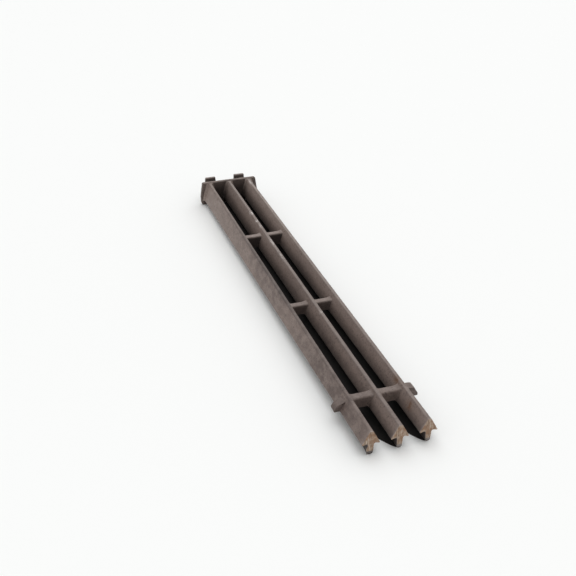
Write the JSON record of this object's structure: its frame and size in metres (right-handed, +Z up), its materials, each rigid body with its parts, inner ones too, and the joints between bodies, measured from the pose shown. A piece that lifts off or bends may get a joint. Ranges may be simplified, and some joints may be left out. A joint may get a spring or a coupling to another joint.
{
  "type": "char-broiler grate section",
  "caption": "Cast-iron grate section: parallel arrow-shaped bars with grease gutters, cross ties, end plate, rear hooks and front ears, lying with its cooking edges down",
  "frame": {"origin": "middle of the footprint, at the level of the cooking edges that it lies on", "axes": "+Y along the bars to the rear, where the end plate and hooks are; +Z up, from the cooking edges to the roofs' ridges; +X to the right"},
  "size_m": [0.0774, 0.5334, 0.0295],
  "materials": {
    "iron": "as cast, matte, darkened by heat, with ground front ends"
  },
  "bodies": {
    "root": {"bar_centre": "iron", "bar_left": "iron", "bar_right": "iron", "front_ear_left": "iron", "front_ear_right": "iron", "front_tie_left": "iron", "front_tie_right": "iron", "middle_tie_left": "iron", "middle_tie_right": "iron", "rear_end_plate": "iron", "rear_hook_left": "iron", "rear_hook_right": "iron", "rear_tie_left": "iron", "rear_tie_right": "iron"}
  },
  "joints": []
}
